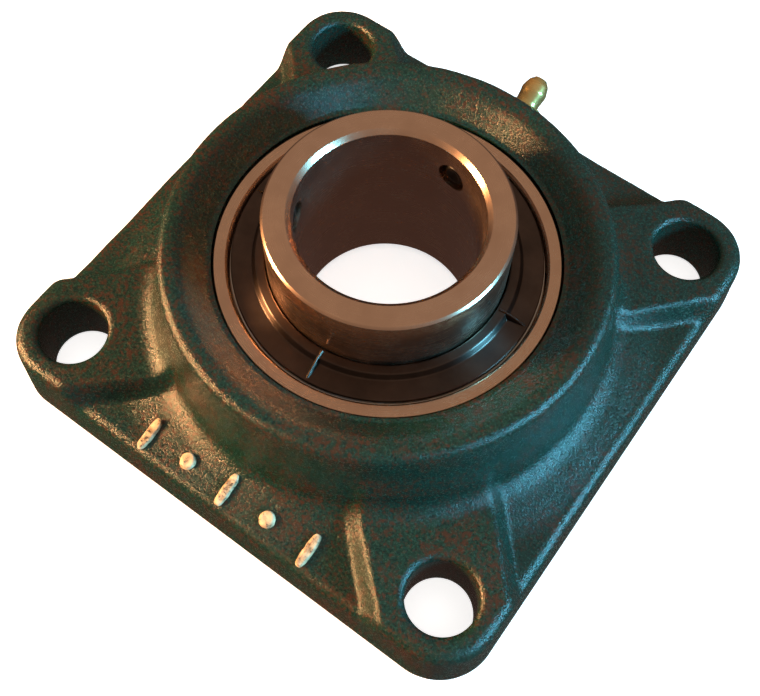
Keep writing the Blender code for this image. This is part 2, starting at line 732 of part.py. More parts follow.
def flinger_profile():
    """A flat outer band, a step up, and a collar round the inner ring."""
    edge = SEAL_SEAT_RADIUS - FLINGER_EDGE_GAP
    hub = INNER_RING_RADIUS + RUNNING_GAP
    fold = hub + FLINGER_COLLAR
    low = FLINGER_START
    high = low + FLINGER_STEP
    return [
        (fold, high + FLINGER_THICKNESS),
        (fold + FLINGER_SLOPE, low + FLINGER_THICKNESS),
        (edge - FLINGER_THICKNESS / 4, low + FLINGER_THICKNESS),
        (edge, low + FLINGER_THICKNESS * 3 / 4),
        (edge, low),
        (fold + FLINGER_SLOPE - FLINGER_THICKNESS, low),
        (fold - FLINGER_THICKNESS, high),
        (hub, high),
        (hub, high + FLINGER_THICKNESS),
    ]


def make_pair(name, profile, material):
    turned(f"front_{name}", at_centre(profile), DISC_STEPS, parts, material)
    turned(f"rear_{name}", at_centre(mirrored_front(profile)), DISC_STEPS, parts, material)
    for side in ("front", "rear"):
        apply_modifiers(bpy.data.objects[f"{side}_{name}"])


# Set screws

def make_set_screws():
    """Cup-point screws with a hexagon socket, made along Z with the tip down and then laid out."""
    tip = BORE_RADIUS + SET_SCREW_TIP_RECESS
    length = INNER_RING_RADIUS - SET_SCREW_HEAD_RECESS - tip
    radius = SET_SCREW_DIAMETER / 2
    chamfer = SET_SCREW_TIP_RECESS
    screw = turned(
        "set_screw_1",
        [
            (0, length),
            (radius - chamfer, length),
            (radius, length - chamfer),
            (radius, 2 * chamfer),
            (radius - 2 * chamfer, 0),
            (radius - 3 * chamfer, 0),
            (0, chamfer),
        ],
        2 * SMALL_STEPS,
        parts,
        black_steel,
        closed=False,
    )
    socket = rod(
        "set_screw_socket",
        SET_SCREW_SOCKET / math.sqrt(3),
        (0, 0, length - SET_SCREW_SOCKET_DEPTH),
        (0, 0, length + TOO_FAR),
        6,
        cutters,
    )
    apply_modifiers(boolean(screw, socket, "DIFFERENCE"))
    for index, azimuth in enumerate(SET_SCREW_AZIMUTHS):
        name = f"set_screw_{index + 1}"
        copy = screw if index == 0 else add_object(name, screw.data, parts)
        copy.rotation_euler = around(azimuth, 1).to_track_quat("Z", "X").to_euler()
        copy.location = around(azimuth, tip, SCREW_HEIGHT)


# Grease nipple, made along Z from its seat and then tilted

def lay_on_nipple_axis(obj, distance=0.0):
    _, direction = nipple_axis()
    obj.rotation_euler = UP.rotation_difference(direction).to_euler()
    obj.location = nipple_seat() + direction * distance


def nipple_top():
    return NIPPLE_HEX_HEIGHT + NIPPLE_NECK_HEIGHT + NIPPLE_HEAD_HEIGHT


def make_grease_nipple():
    shank = NIPPLE_SHANK_DIAMETER / 2
    head = NIPPLE_HEAD_DIAMETER / 2
    neck = NIPPLE_NECK_DIAMETER / 2
    mouth = NIPPLE_MOUTH_DIAMETER / 2
    top = nipple_top()
    head_base = top - NIPPLE_HEAD_HEIGHT
    hexagon = NIPPLE_HEX_HEIGHT
    profile = [
        (mouth, top),
        (head * 0.45, top),
        (head * 0.9, head_base + NIPPLE_HEAD_HEIGHT * 0.45),
        (head, head_base + NIPPLE_HEAD_HEIGHT * 0.25),
        (head * 0.85, head_base),
        (neck, head_base - NIPPLE_NECK_HEIGHT * 0.4),
        (neck, hexagon - RING_CHAMFER),
        (shank, hexagon - RING_CHAMFER),
        (shank, RING_CHAMFER - NIPPLE_SHANK_LENGTH),
        (shank - RING_CHAMFER, -NIPPLE_SHANK_LENGTH),
        (NIPPLE_FOOT_DIAMETER / 2, -NIPPLE_SHANK_LENGTH),
        (NIPPLE_FOOT_DIAMETER / 2, NIPPLE_FOOT_DEPTH - NIPPLE_SHANK_LENGTH),
        (NIPPLE_BORE_DIAMETER / 2, NIPPLE_FOOT_DEPTH - NIPPLE_SHANK_LENGTH),
        (NIPPLE_BORE_DIAMETER / 2, top - NIPPLE_MOUTH_DEPTH),
        (mouth, top - NIPPLE_MOUTH_DEPTH / 2),
    ]
    nipple = turned("grease_nipple", profile, 2 * SMALL_STEPS, parts, nipple_brass)
    bm = bmesh.new()
    bmesh.ops.create_cone(
        bm,
        cap_ends=True,
        segments=6,
        radius1=NIPPLE_HEX / math.sqrt(3),
        radius2=NIPPLE_HEX / math.sqrt(3),
        depth=hexagon,
    )
    bmesh.ops.translate(bm, vec=(0, 0, hexagon / 2), verts=bm.verts)
    blank = from_bmesh("nipple_hexagon", bm, cutters)
    clear_bore = rod(
        "nipple_hexagon_bore",
        (shank + neck) / 2 - RING_CHAMFER / 2,
        (0, 0, -TOO_FAR),
        (0, 0, TOO_FAR),
        2 * SMALL_STEPS,
        cutters,
    )
    boolean(blank, clear_bore, "DIFFERENCE")
    boolean(nipple, blank, "UNION")
    apply_modifiers(nipple)
    lay_on_nipple_axis(nipple)
    return nipple


def check_ball_height():
    return nipple_top() - NIPPLE_MOUTH_DEPTH - CHECK_BALL_DIAMETER / 2 - RUNNING_GAP / 2


def make_nipple_ball():
    bm = bmesh.new()
    bmesh.ops.create_uvsphere(bm, u_segments=12, v_segments=8, radius=CHECK_BALL_DIAMETER / 2)
    ball = from_bmesh("nipple_ball", bm, parts, ball_steel)
    ball.data.shade_smooth()
    lay_on_nipple_axis(ball, check_ball_height())
    return ball


def make_nipple_spring():
    """A coil between the check ball and the ledge at the foot of the nipple's bore."""
    radius = NIPPLE_BORE_DIAMETER / 2 - RUNNING_GAP - SPRING_WIRE / 2
    low = NIPPLE_FOOT_DEPTH - NIPPLE_SHANK_LENGTH + RUNNING_GAP + SPRING_WIRE / 2
    high = check_ball_height() - CHECK_BALL_DIAMETER / 2 - RUNNING_GAP - SPRING_WIRE / 2
    curve = bpy.data.curves.new("nipple_spring", "CURVE")
    curve.dimensions = "3D"
    curve.bevel_depth = SPRING_WIRE / 2
    curve.bevel_resolution = 0
    curve.use_fill_caps = True
    spline = curve.splines.new("POLY")
    count = SPRING_TURNS * SPRING_POINTS_PER_TURN
    spline.points.add(count)
    for number in range(count + 1):
        turn = 2 * math.pi * number / SPRING_POINTS_PER_TURN
        height = low + (high - low) * number / count
        spline.points[number].co = (radius * math.cos(turn), radius * math.sin(turn), height, 1)
    curve.materials.append(sheet_steel)
    spring = bpy.data.objects.new("nipple_spring", curve)
    parts.objects.link(spring)
    lay_on_nipple_axis(spring)
    return spring


make_housing()
make_locking_pin()
make_outer_ring()
make_inner_ring()
make_balls()
make_cage_half("cage_front_half", 1)
make_cage_half("cage_rear_half", -1)
make_rivets()
make_pair("seal_core", seal_core_profile(), sheet_steel)
make_pair("seal_lip", seal_lip_profile(), seal_rubber)
make_pair("flinger", flinger_profile(), black_steel)
make_set_screws()
make_grease_nipple()
make_nipple_ball()
make_nipple_spring()
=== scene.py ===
import json
import math

import bmesh
import bpy
import numpy as np
from mathutils import Matrix, Vector, noise


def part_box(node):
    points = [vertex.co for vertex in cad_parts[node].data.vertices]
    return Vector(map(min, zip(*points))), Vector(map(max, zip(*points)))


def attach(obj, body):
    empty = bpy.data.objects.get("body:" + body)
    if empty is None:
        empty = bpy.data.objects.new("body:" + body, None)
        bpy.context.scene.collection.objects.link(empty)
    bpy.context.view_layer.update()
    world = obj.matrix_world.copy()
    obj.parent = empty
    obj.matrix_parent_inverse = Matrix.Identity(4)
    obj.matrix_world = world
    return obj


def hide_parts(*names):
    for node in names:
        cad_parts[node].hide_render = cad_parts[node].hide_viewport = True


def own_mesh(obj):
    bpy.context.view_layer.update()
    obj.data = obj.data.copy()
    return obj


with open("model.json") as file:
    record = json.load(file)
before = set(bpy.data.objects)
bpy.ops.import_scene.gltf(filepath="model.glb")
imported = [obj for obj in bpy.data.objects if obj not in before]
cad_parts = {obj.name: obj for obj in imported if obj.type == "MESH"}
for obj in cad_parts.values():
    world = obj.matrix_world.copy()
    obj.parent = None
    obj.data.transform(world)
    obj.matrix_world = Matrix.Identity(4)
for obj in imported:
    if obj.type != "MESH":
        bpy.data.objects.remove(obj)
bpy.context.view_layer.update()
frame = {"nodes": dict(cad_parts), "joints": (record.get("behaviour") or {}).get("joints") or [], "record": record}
mm = 0.001
print("frame loaded:", len(frame["nodes"]), "nodes")


# sizes read from the frame, in millimetres like every size below but the stage's

def box(node):
    low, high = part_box(node)
    return low * 1000, high * 1000


def radiusOf(node):
    return box(node)[1].x


def offsets(node):
    # lowest and highest point, measured from the bearing's centre
    low, high = box(node)
    return low.z - centreZ, high.z - centreZ


def middle(node):
    low, high = box(node)
    return (low + high) / 2


def joint(name):
    return next(j for j in frame["joints"] if j["name"] == name)


def opening(name):
    found = next(o for o in frame["record"]["physics"]["openings"] if o["name"] == name)
    low, high = found["box_m"]
    return (Vector(low) + Vector(high)) * 500


centreZ = joint("inner_ring_spin")["pos_m"][2] * 1000
flangeHalf = radiusOf("housing")
bossTop = box("housing")[1].z
ringRadius = radiusOf("outer_ring")
ringHalf = offsets("outer_ring")[1]
hubRadius = radiusOf("inner_ring")
hubRear, hubFront = offsets("inner_ring")
ballRadius = (box("ball_1")[1].z - box("ball_1")[0].z) / 2
pitchRadius = middle("ball_1").x
ballCount = sum(name.startswith("ball_") for name in frame["nodes"])
seat = next(m for m in frame["record"]["mounts"] if m["name"] == "bolt_seat_1")
padTop = seat["pos_m"][2] * 1000
boltHoles = [opening(f"bolt_hole_{i}") for i in (1, 2, 3, 4)]
gap = 0.3
raceArc = ballRadius + gap
raceRadius = pitchRadius + raceArc
sealRim = radiusOf("front_seal_core")
sealStart, sealEnd = offsets("front_seal_core")
upward = Vector((0, 0, 1))


# shader nodes

class Wire:
    # one output of a node, used in plain arithmetic
    def __init__(self, nodes, socket):
        self.nodes = nodes
        self.socket = socket

    def done(self, operation, first, second):
        return self.nodes.node("ShaderNodeMath", {"operation": operation}, {0: first, 1: second})

    def __add__(self, other):
        return self.done("ADD", self, other)

    def __radd__(self, other):
        return self.done("ADD", other, self)

    def __mul__(self, other):
        return self.done("MULTIPLY", self, other)

    def __rmul__(self, other):
        return self.done("MULTIPLY", other, self)

    def __pow__(self, other):
        return self.done("POWER", self, other)


class Nodes:
    # a material's or a world's node tree
    def __init__(self, owner):
        owner.use_nodes = True
        self.tree = owner.node_tree

    def node(self, kind, settings=None, inputs=None, output=0):
        made = self.tree.nodes.new(kind)
        for key, value in (settings or {}).items():
            setattr(made, key, value)
        for key, value in (inputs or {}).items():
            self.feed(made.inputs[key], value)
        return Wire(self, made.outputs[output])

    def feed(self, socket, value):
        if isinstance(value, Wire):
            self.tree.links.new(value.socket, socket)
        elif socket.type == "RGBA":
            socket.default_value = (*value, 1)
        else:
            socket.default_value = value

    def between(self, value, low, high, outLow=0.0, outHigh=1.0):
        inputs = {0: value, 1: low, 2: high, 3: outLow, 4: outHigh}
        return self.node("ShaderNodeMapRange", {"clamp": True}, inputs)

    def mix(self, factor, first, second):
        settings = {"data_type": "RGBA"}
        return self.node("ShaderNodeMix", settings, {0: factor, 6: first, 7: second}, output=2)


class Paint(Nodes):
    # a material whose plain values sit on the shader's own sockets
    def __init__(self, name, **values):
        self.material = bpy.data.materials.new(name)
        super().__init__(self.material)
        self.shader = self.tree.nodes["Principled BSDF"]
        for key, value in values.items():
            self.put(key, value)

    def put(self, key, value):
        self.feed(self.shader.inputs[key], value)

    def place(self):
        # object coordinates, in millimetres
        coordinates = self.node("ShaderNodeTexCoord", output="Object")
        inputs = {0: coordinates, "Scale": 1 / mm}
        return self.node("ShaderNodeVectorMath", {"operation": "SCALE"}, inputs)

    def grain(self, place, size, detail=3.0, roughness=0.55):
        # noise whose lumps are about size millimetres across
        inputs = {"Vector": place, "Scale": 1 / size, "Detail": detail, "Roughness": roughness}
        return self.node("ShaderNodeTexNoise", {}, inputs)

    def radius(self, place):
        # distance from the bearing's axis
        x = self.node("ShaderNodeSeparateXYZ", {}, {0: place})
        y = Wire(self, x.socket.node.outputs[1])
        return (x * x + y * y) ** 0.5

    def bump(self, height, depth, under=None):
        # depth is the full relief in millimetres
        inputs = {"Height": height, "Distance": depth * mm, "Strength": 1.0}
        if under:
            inputs["Normal"] = under
        return self.node("ShaderNodeBump", {}, inputs)


# materials

noiseSpan = (0.3, 0.7)  # most of a noise's values lie between these
noiseCore = (0.35, 0.65)

castingLook = {
    "green": (0.005, 0.034, 0.024),
    "darkGreen": (0.001, 0.010, 0.009),
    "brown": (0.034, 0.014, 0.008),
    "patchSize": 9.0,
    "patchShare": 0.35,
    "speckSize": 0.7,
    "wear": (0.49, 0.61),
    "specular": 0.36,
    "roughness": (0.17, 0.31),
    "grainSize": 0.45,
    "grainDepth": 0.18,
    "lumpSize": 1.4,
    "lumpDepth": 0.08,
}


def castingPaint():
    look = castingLook
    paint = Paint("castingPaint", **{"Specular IOR Level": look["specular"]})
    place = paint.place()
    lumps = paint.grain(place, look["lumpSize"], 2.0)
    grit = paint.grain(place, look["grainSize"], 3.0, 0.65)
    patches = paint.grain(place, look["patchSize"], 4.0)
    specks = paint.grain(place, look["speckSize"], 2.0)
    share = look["patchShare"]
    worn = paint.between(patches * share + specks * (1 - share), *look["wear"])
    tint = paint.mix(paint.between(grit, *noiseCore), look["darkGreen"], look["green"])
    paint.put("Base Color", paint.mix(worn, tint, look["brown"]))
    paint.put("Roughness", paint.between(grit, *noiseSpan, *look["roughness"]))
    relief = paint.bump(lumps, look["lumpDepth"])
    paint.put("Normal", paint.bump(grit, look["grainDepth"], relief))
    return paint.material


markLook = {
    "cream": (0.56, 0.42, 0.26),
    "worn": (0.22, 0.145, 0.075),
    "chipped": (0.030, 0.020, 0.014),
    "patchSize": 1.6,
    "wear": (0.4, 0.66),
    "chips": (0.54, 0.62),
    "roughness": (0.45, 0.7),
    "grainSize": 0.5,
    "grainDepth": 0.15,
}


def markPaint():
    look = markLook
    paint = Paint("markPaint")
    place = paint.place()
    grit = paint.grain(place, look["grainSize"], 3.0)
    patches = paint.grain(place, look["patchSize"], 3.0)
    chips = paint.between(grit * 0.6 + patches * 0.4, *look["chips"])
    tint = paint.mix(paint.between(patches, *look["wear"]), look["cream"], look["worn"])
    paint.put("Base Color", paint.mix(chips, tint, look["chipped"]))
    paint.put("Roughness", paint.between(grit, *noiseSpan, *look["roughness"]))
    paint.put("Normal", paint.bump(grit, look["grainDepth"]))
    return paint.material


tarnishSize = 6.0  # width of a patch of duller metal
ringLook = {
    "light": (0.53, 0.385, 0.300),
    "dark": (0.47, 0.335, 0.260),
    "roughness": (0.22, 0.30),
    "groovePitch": 0.12,
    "grooveDepth": 0.003,
    "anisotropy": 0.3,
}


def turnedMetal(name, look, metallic=1.0):
    # fine concentric tool marks round the bearing's axis, with a little smearing
    paint = Paint(name, **{"Metallic": metallic, "Anisotropic Rotation": 0.25})
    paint.put("Anisotropic", look["anisotropy"])
    place = paint.place()
    radius = paint.radius(place)
    height = paint.node("ShaderNodeSeparateXYZ", {}, {0: place}, output=2)
    across = paint.node("ShaderNodeCombineXYZ", {}, {0: radius, 1: height})
    grooves = paint.grain(across, look["groovePitch"] * 2, 3.0, 0.7)
    patches = paint.grain(place, tarnishSize, 3.0)
    tint = paint.mix(paint.between(patches, *noiseSpan), look["dark"], look["light"])
    paint.put("Base Color", tint)
    toolMarks = patches * 0.5 + grooves * 0.5
    paint.put("Roughness", paint.between(toolMarks, *noiseCore, *look["roughness"]))
    paint.put("Normal", paint.bump(grooves, look["grooveDepth"]))
    return paint.material


flingerLook = {
    "light": (0.080, 0.060, 0.054),
    "dark": (0.050, 0.039, 0.036),
    "roughness": (0.28, 0.34),
    "groovePitch": 0.12,
    "grooveDepth": 0.006,
    "anisotropy": 0.92,
}

sheetLook = {
    "light": (0.55, 0.54, 0.53),
    "dark": (0.42, 0.41, 0.41),
    "roughness": (0.30, 0.45),
    "groovePitch": 0.4,
    "grooveDepth": 0.004,
    "anisotropy": 0.2,
}

blackLook = {
    "light": (0.050, 0.048, 0.048),
    "dark": (0.030, 0.029, 0.030),
    "roughness": (0.30, 0.45),
    "groovePitch": 0.2,
    "grooveDepth": 0.004,
    "anisotropy": 0.2,
}

ballLook = {
    "light": (0.80, 0.79, 0.78),
    "dark": (0.72, 0.71, 0.70),
    "roughness": (0.05, 0.09),
    "groovePitch": 0.5,
    "grooveDepth": 0.0005,
    "anisotropy": 0.0,
}

brassLook = {
    "light": (0.60, 0.42, 0.16),
    "dark": (0.42, 0.28, 0.10),
    "roughness": (0.22, 0.32),
    "groovePitch": 0.5,
    "grooveDepth": 0.004,
    "anisotropy": 0.0,
}

rubberLook = {
    "dark": (0.014, 0.013, 0.013),
    "light": (0.022, 0.020, 0.020),
    "roughness": (0.5, 0.68),
    "grainSize": 0.4,
    "grainDepth": 0.02,
}


def sealRubber():
    look = rubberLook
    paint = Paint("sealRubber")
    grit = paint.grain(paint.place(), look["grainSize"], 3.0)
    paint.put("Base Color", paint.mix(grit, look["dark"], look["light"]))
    paint.put("Roughness", paint.between(grit, *noiseSpan, *look["roughness"]))
    paint.put("Normal", paint.bump(grit, look["grainDepth"]))
    return paint.material


casting = castingPaint()
marking = markPaint()
ringSteel = turnedMetal("ringSteel", ringLook)
flingerSteel = turnedMetal("flingerSteel", flingerLook)
sheetSteel = turnedMetal("sheetSteel", sheetLook)
blackSteel = turnedMetal("blackSteel", blackLook)
ballSteel = turnedMetal("ballSteel", ballLook)
brass = turnedMetal("brass", brassLook, 0.85)
rubber = sealRubber()
print("materials made")


# shape helpers, whose sizes are in millimetres until the mesh is made

def linked(name, mesh, material=None):
    obj = bpy.data.objects.new(name, mesh)
    bpy.context.scene.collection.objects.link(obj)
    if material:
        mesh.materials.append(material)
    return obj


def built(name, points, faces, material=None):
    # points in millimetres, closed skins only
    mesh = bpy.data.meshes.new(name)
    mesh.from_pydata([tuple(Vector(p) * mm) for p in points], [], faces)
    bm = bmesh.new()
    bm.from_mesh(mesh)
    bmesh.ops.recalc_face_normals(bm, faces=bm.faces)
    bm.to_mesh(mesh)
    bm.free()
    return linked(name, mesh, material)


def shaded(obj, angle=32):
    obj.data.shade_smooth()
    obj.data.set_sharp_from_angle(angle=math.radians(angle))
    return obj


def applied(obj):
    graph = bpy.context.evaluated_depsgraph_get()
    mesh = bpy.data.meshes.new_from_object(obj.evaluated_get(graph), depsgraph=graph)
    obj.modifiers.clear()
    obj.data = mesh
    return shaded(obj)


def shown(obj, body, slot, *nodes):
    # the piece stands for CAD nodes and moves with their body
    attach(obj, body)
    if nodes:
        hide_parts(*nodes)
    return obj


def softened(corners, closed=True, steps=5):
    # corners are (radius, height, fillet), and each corner is rounded with its fillet
    count = len(corners)
    points = []
    for i, (r, z, fillet) in enumerate(corners):
        here = Vector((r, z))
        if fillet == 0 or (not closed and i in (0, count - 1)):
            points.append(here)
            continue
        before = Vector(corners[i - 1][:2]) - here
        after = Vector(corners[(i + 1) % count][:2]) - here
        half = before.angle(after) / 2
        reach = min(fillet / math.tan(half), 0.45 * before.length, 0.45 * after.length)
        fillet = reach * math.tan(half)
        start = here + before.normalized() * reach
        end = here + after.normalized() * reach
        inward = (before.normalized() + after.normalized()).normalized()
        centre = here + inward * (fillet / math.sin(half))
        first, last = start - centre, end - centre
        for step in range(steps + 1):
            points.append(centre + first.lerp(last, step / steps).normalized() * fillet)
    return points


def arc(centreR, centreH, radius, start, end, steps):
    # corners with no fillet along an arc, the angles in degrees from +r towards +z
    turns = [math.radians(start + (end - start) * i / steps) for i in range(steps + 1)]
    return [(centreR + radius * math.cos(t), centreH + radius * math.sin(t), 0) for t in turns]


def skinned(count, size, ring=False):
    # faces over count sections of size points each, joined up in a ring or closed by two ends
    faces = []
    for i in range(count if ring else count - 1):
        here, there = i * size, (i + 1) % count * size
        for k in range(size):
            j = (k + 1) % size
            faces.append((here + k, here + j, there + j, there + k))
    if not ring:
        faces += [tuple(range(size)), tuple(range((count - 1) * size, count * size))]
    return faces


def spun(name, corners, turns=192, closed=True, material=None, lift=0.0):
    # a profile turned round Z. An open one starts and ends on the axis
    profile = softened(corners, closed)
    inside = profile if closed else profile[1:-1]
    size = len(inside)
    points, faces = [], []
    for turn in range(turns):
        angle = 2 * math.pi * turn / turns
        points += [(p.x * math.cos(angle), p.x * math.sin(angle), p.y + lift) for p in inside]
    if closed:
        return shaded(built(name, points, skinned(turns, size, ring=True), material))
    points += [(0, 0, profile[0].y + lift), (0, 0, profile[-1].y + lift)]
    top, bottom = turns * size, turns * size + 1
    for turn in range(turns):
        here, there = turn * size, (turn + 1) % turns * size
        faces.append((top, here, there))
        faces.append((bottom, there + size - 1, here + size - 1))
        for i in range(size - 1):
            faces.append((here + i, here + i + 1, there + i + 1, there + i))
    return shaded(built(name, points, faces, material))


def prism(name, sides, acrossFlats, low, high):
    corner = acrossFlats / 2 / math.cos(math.pi / sides)
    ring = [2 * math.pi * i / sides for i in range(sides)]
    points = [(corner * math.cos(t), corner * math.sin(t), z) for z in (low, high) for t in ring]
    faces = [(i, (i + 1) % sides, sides + (i + 1) % sides, sides + i) for i in range(sides)]
    faces += [tuple(range(sides)), tuple(range(sides, 2 * sides))]
    return built(name, points, faces)


def block(name, low, high):
    xs, ys, zs = zip(low, high)
    points = [(x, y, z) for x in xs for y in ys for z in zs]
    faces = [(0, 1, 3, 2), (4, 5, 7, 6), (0, 1, 5, 4), (2, 3, 7, 6), (0, 2, 6, 4), (1, 3, 7, 5)]
    return built(name, points, faces)


def combined(obj, tool, operation="DIFFERENCE"):
    # one Boolean, after which the tool is gone
    modifier = obj.modifiers.new(operation, "BOOLEAN")
    modifier.operation = operation
    modifier.solver = "MANIFOLD"
    modifier.object = tool
    applied(obj)
    bpy.data.objects.remove(tool)
    return obj


def laidAlong(obj, start, direction):
    # a piece made along +Z is moved to start there and run along a direction
    turn = upward.rotation_difference(Vector(direction)).to_matrix().to_4x4()
    obj.data.transform(Matrix.Translation(Vector(start) * mm) @ turn)
    return obj


def outwards(azimuth):
    angle = math.radians(azimuth)
    return Vector((math.cos(angle), math.sin(angle), 0))


# housing: one skin of rings of points, from the seat over the boss and the flange to the back

housing = {
    "columns": 640,
    "cornerRadius": 12.0,
    "draft": 0.8,
    "edgeRounding": 2.3,
    "backRounding": 0.6,
    "groundHeight": 10.3,
    "skirtRise": 2.0,
    "padHalf": 12.6,
    "padTaper": 1.5,
    "padFlare": 3.6,
    "padReach": 1.35,
    "bossTaper": 2.0,
    "bossWall": 8.7,
    "crestRounding": 2.6,
    "crestWidth": 1.9,
    "crestFillet": 5.5,
    "mouthFlat": 0.9,
    "mouthFillet": 1.4,
    "footFillet": 5.0,
    "seatMargin": 0.5,
    "recessMargin": 1.8,
    "waviness": 0.08,
    "wavinessSize": 6.0,
    "pitting": 0.035,
    "pittingSize": 1.0,
    "holeRadius": 7.0,
    "holeRim": 0.55,
    "slotHalf": 10.3,
    "slotRadius": 36.6,
    "pinSlotHalf": 1.8,
    "pinSlotRise": 3.4,
    "pinSlotDepth": 37.9,
    "socketRadius": 3.12,
    "socketDepth": 5.8,
    "passageRadius": 1.5,
    "passageDepth": 20.0,
    "seatSpacing": 0.7,
    "wallRings": 15,
    "footRings": 10,
    "topRings": 27,
    "edgeRings": 9,
    "sideRings": 12,
    "backEdgeRings": 3,
    "backRings": 8,
}


def outlineReach(angles, inset):
    # distance from the axis to the flange's outline, drawn in by inset, along each angle
    half = flangeHalf - inset
    corner = housing["cornerRadius"] - inset
    c, s = np.abs(np.cos(angles)), np.abs(np.sin(angles))
    straight = half / np.maximum(c, s)
    inner = half - corner
    along = inner * (c + s)
    rounded = along + np.sqrt(np.maximum(along**2 - 2 * inner**2 + corner**2, 0))
    return np.where(np.minimum(c, s) * straight > inner, rounded, straight)


def smoothStep(value):
    t = np.clip(value, 0, 1)
    return t * t * (3 - 2 * t)


def groundAt(x, y):
    # height of the flange's top, with the slope at the boss's foot and the raised corner pads
    h = housing
    r = np.hypot(x, y)
    foot = ringRadius + gap + h["bossWall"] + h["bossTaper"]
    slope = 1 - smoothStep((r - foot - 1) / (flangeHalf - foot))
    ground = h["groundHeight"] + h["skirtRise"] * slope
    aside = np.abs(np.abs(x) - np.abs(y)) / math.sqrt(2)
    out = np.clip((r - foot) / (h["padReach"] * flangeHalf - foot), 0, 1)
    edge = h["padHalf"] - h["padTaper"] * out
    return padTop + (ground - padTop) * smoothStep((aside - edge) / h["padFlare"])


def housingRows(angles):
    # rings of points as (x, y, z, roughness of the casting)
    h = housing
    c, s = np.cos(angles), np.sin(angles)
    seat = ringRadius + gap
    seatHalf = ringHalf + h["seatMargin"]
    recess = seat + h["recessMargin"]
    bossRadius = seat + h["bossWall"]
    crest = bossRadius - h["crestRounding"] - h["crestWidth"]
    mouthHeight = centreZ + seatHalf
    tilt = math.degrees(math.asin(seatHalf / seat))
    turned = [(recess + 2, 0, 0.2), (recess, 1, 0.3), (recess, centreZ - seatHalf, 0.6)]
    turned += arc(0, centreZ, seat, -tilt, tilt, 14)
    turned += [
        (math.sqrt(seat**2 - seatHalf**2) + h["mouthFlat"], mouthHeight, h["mouthFillet"]),
        (crest, bossTop, h["crestFillet"]),
        (bossRadius - 0.3, bossTop, h["crestRounding"]),
        (bossRadius + 0.4, centreZ + 6, 0),
    ]
    sparse = softened(turned, closed=False, steps=7)
    points = [sparse[0]]
    for before, after in zip(sparse, sparse[1:]):
        pieces = max(1, round((after - before).length / h["seatSpacing"]))
        points += [before.lerp(after, k / pieces) for k in range(1, pieces + 1)]
    rows = []

    def ring(r, z, rough):
        rows.append((r * c, r * s, z + 0 * c, rough))

    for point in points:
        ring(point.x, point.y, float(point.y > mouthHeight + 0.6))
    # down the boss's wall, and round the fillet that follows the flange's top
    foot = bossRadius + h["bossTaper"]
    fillet = h["footFillet"]
    ground = groundAt((foot + fillet) * c, (foot + fillet) * s)
    wallTop = points[-1]
    count = h["wallRings"]
    for k in range(1, count):
        z = wallTop.y + (ground + fillet - wallTop.y) * k / count
        ring(wallTop.x + (foot - wallTop.x) * k / count, z, 1.0)
    count = h["footRings"]
    for k in range(count + 1):
        turn = k / count * math.pi / 2
        r = foot + fillet * (1 - math.cos(turn))
        level = ground + (groundAt(r * c, r * s) - ground) * k / count
        ring(r, level + fillet * (1 - math.sin(turn)), 1.0)
    # across the flange's top, over its rounded edge and down its side
    start = foot + fillet
    topInset = h["draft"] + h["edgeRounding"]
    end = outlineReach(angles, topInset)
    count = h["topRings"]
    for k in range(1, count):
        r = start + (end - start) * k / count
        ring(r, groundAt(r * c, r * s), 1.0)
    edgeLevel = groundAt(end * c, end * s)
    count = h["edgeRings"]
    for k in range(count + 1):
        turn = k / count * math.pi / 2
        r = outlineReach(angles, topInset - h["edgeRounding"] * math.sin(turn))
        ring(r, edgeLevel - h["edgeRounding"] * (1 - math.cos(turn)), 1.0)
    side = edgeLevel - h["edgeRounding"]
    count = h["sideRings"]
    for k in range(1, count + 1):
        z = side + (h["backRounding"] - side) * k / count
        ring(outlineReach(angles, h["draft"] * (1 - k / count)), z, 1.0 if k < count else 0.4)
    count = h["backEdgeRings"]
    for k in range(1, count + 1):
        turn = k / count * math.pi / 2
        r = outlineReach(angles, h["backRounding"] * (1 - math.cos(turn)))
        ring(r, h["backRounding"] * (1 - math.sin(turn)), 0.0)
    reach = outlineReach(angles, h["backRounding"])
    count = h["backRings"]
    for k in range(1, count):
        ring(reach + (recess + 2 - reach) * k / count, 0, 0.0)
    return rows


def roughened(points, rough):
    # pushes the rough rings' points along their normals by two sizes of noise
    h = housing
    along = np.roll(points, -1, 0) - np.roll(points, 1, 0)
    around = np.roll(points, -1, 1) - np.roll(points, 1, 1)
    normals = np.cross(around, along)
    normals /= np.maximum(np.linalg.norm(normals, axis=2, keepdims=True), 1e-9)
    for i in np.flatnonzero(rough):
        for j in range(points.shape[1]):
            at = Vector(points[i, j])
            wave = noise.noise(at / h["wavinessSize"]) * h["waviness"]
            pit = noise.noise(at / h["pittingSize"]) * h["pitting"]
            points[i, j] += normals[i, j] * (wave + pit - 0.5 * h["waviness"]) * rough[i]
    low, high = box("housing")
    return np.clip(points, low, (high.x, high.x, high.z))


def drill(name, radius, rim, top, bottom=0.0):
    # a cutter whose top end leaves a rounded rim
    corners = [
        (0, top + 4, 0),
        (radius + 3 * rim, top + 4, 0),
        (radius + 3 * rim, top + 0.4 * rim, 0),
        (radius, top - 0.9 * rim, 2.4 * rim),
        (radius, bottom + 0.4, 0),
        (radius + 0.8, bottom - 0.4, 0),
        (0, bottom - 0.4, 0),
    ]
    return spun(name, corners, 96, closed=False)


